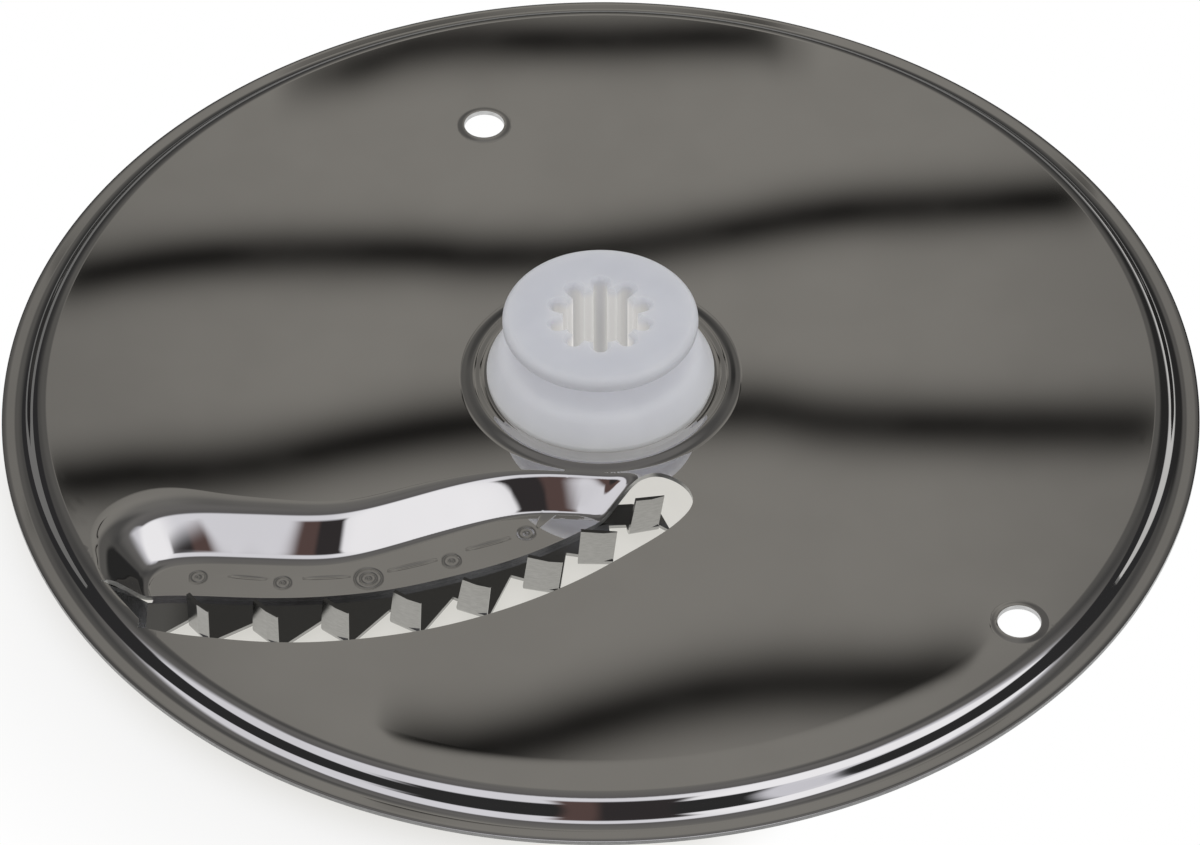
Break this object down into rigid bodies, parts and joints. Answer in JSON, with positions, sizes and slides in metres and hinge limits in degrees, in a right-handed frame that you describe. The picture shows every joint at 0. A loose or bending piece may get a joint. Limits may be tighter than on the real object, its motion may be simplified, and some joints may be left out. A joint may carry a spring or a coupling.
{
  "type": "julienne disc",
  "caption": "Food processor julienne disc: a pressed steel disc with a stepped, folded multi-tooth blade under its slot and a white plastic drive hub with a grooved socket.",
  "frame": {"origin": "on the hub's axis, at the plane the disc rests on (flat end of the hub's grip)", "axes": "+Z along the hub's axis towards the drive collar and socket; the blade's slot lies on the -Y side; the disc's sheet is parallel to XY"},
  "size_m": [0.18, 0.18, 0.0206],
  "materials": {
    "polished_steel": "mirror-polished stainless steel",
    "blade_steel": "finely ground stainless steel",
    "hub_plastic": "smooth white plastic"
  },
  "bodies": {
    "root": {"disc": "polished_steel", "julienne_blade": "blade_steel", "hub": "hub_plastic"}
  },
  "joints": []
}
